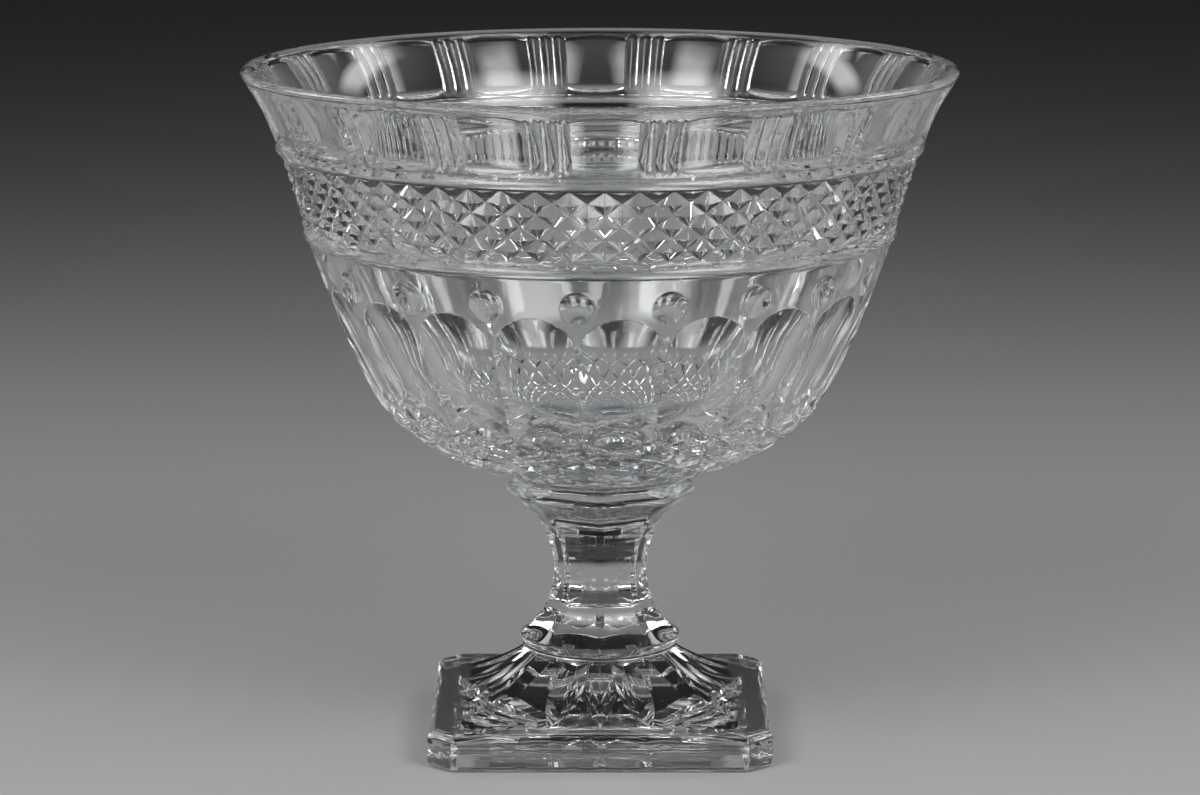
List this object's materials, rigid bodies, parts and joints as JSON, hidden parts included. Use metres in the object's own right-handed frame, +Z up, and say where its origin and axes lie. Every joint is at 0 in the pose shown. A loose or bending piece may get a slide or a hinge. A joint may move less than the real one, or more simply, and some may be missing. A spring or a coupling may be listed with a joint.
{
  "type": "fruit bowl",
  "caption": "Footed fruit bowl of clear pressed glass: a deep flared bowl with panels, diamond points, flutes and a lattice, bonded on a waisted stem with a square base.",
  "frame": {"origin": "on the table under the middle of the square base", "axes": "+Z up along the axis of the bowl and stem; one side of the square base, the front, faces -Y"},
  "size_m": [0.23, 0.23, 0.219],
  "materials": {
    "bowl_glass": "clear colourless pressed glass, fire polished",
    "foot_glass": "clear colourless pressed glass, fire polished, underside lightly rubbed",
    "clear_adhesive": "water-clear cured adhesive film"
  },
  "bodies": {
    "root": {"bowl": "bowl_glass", "foot": "foot_glass", "bond": "clear_adhesive"}
  },
  "joints": []
}
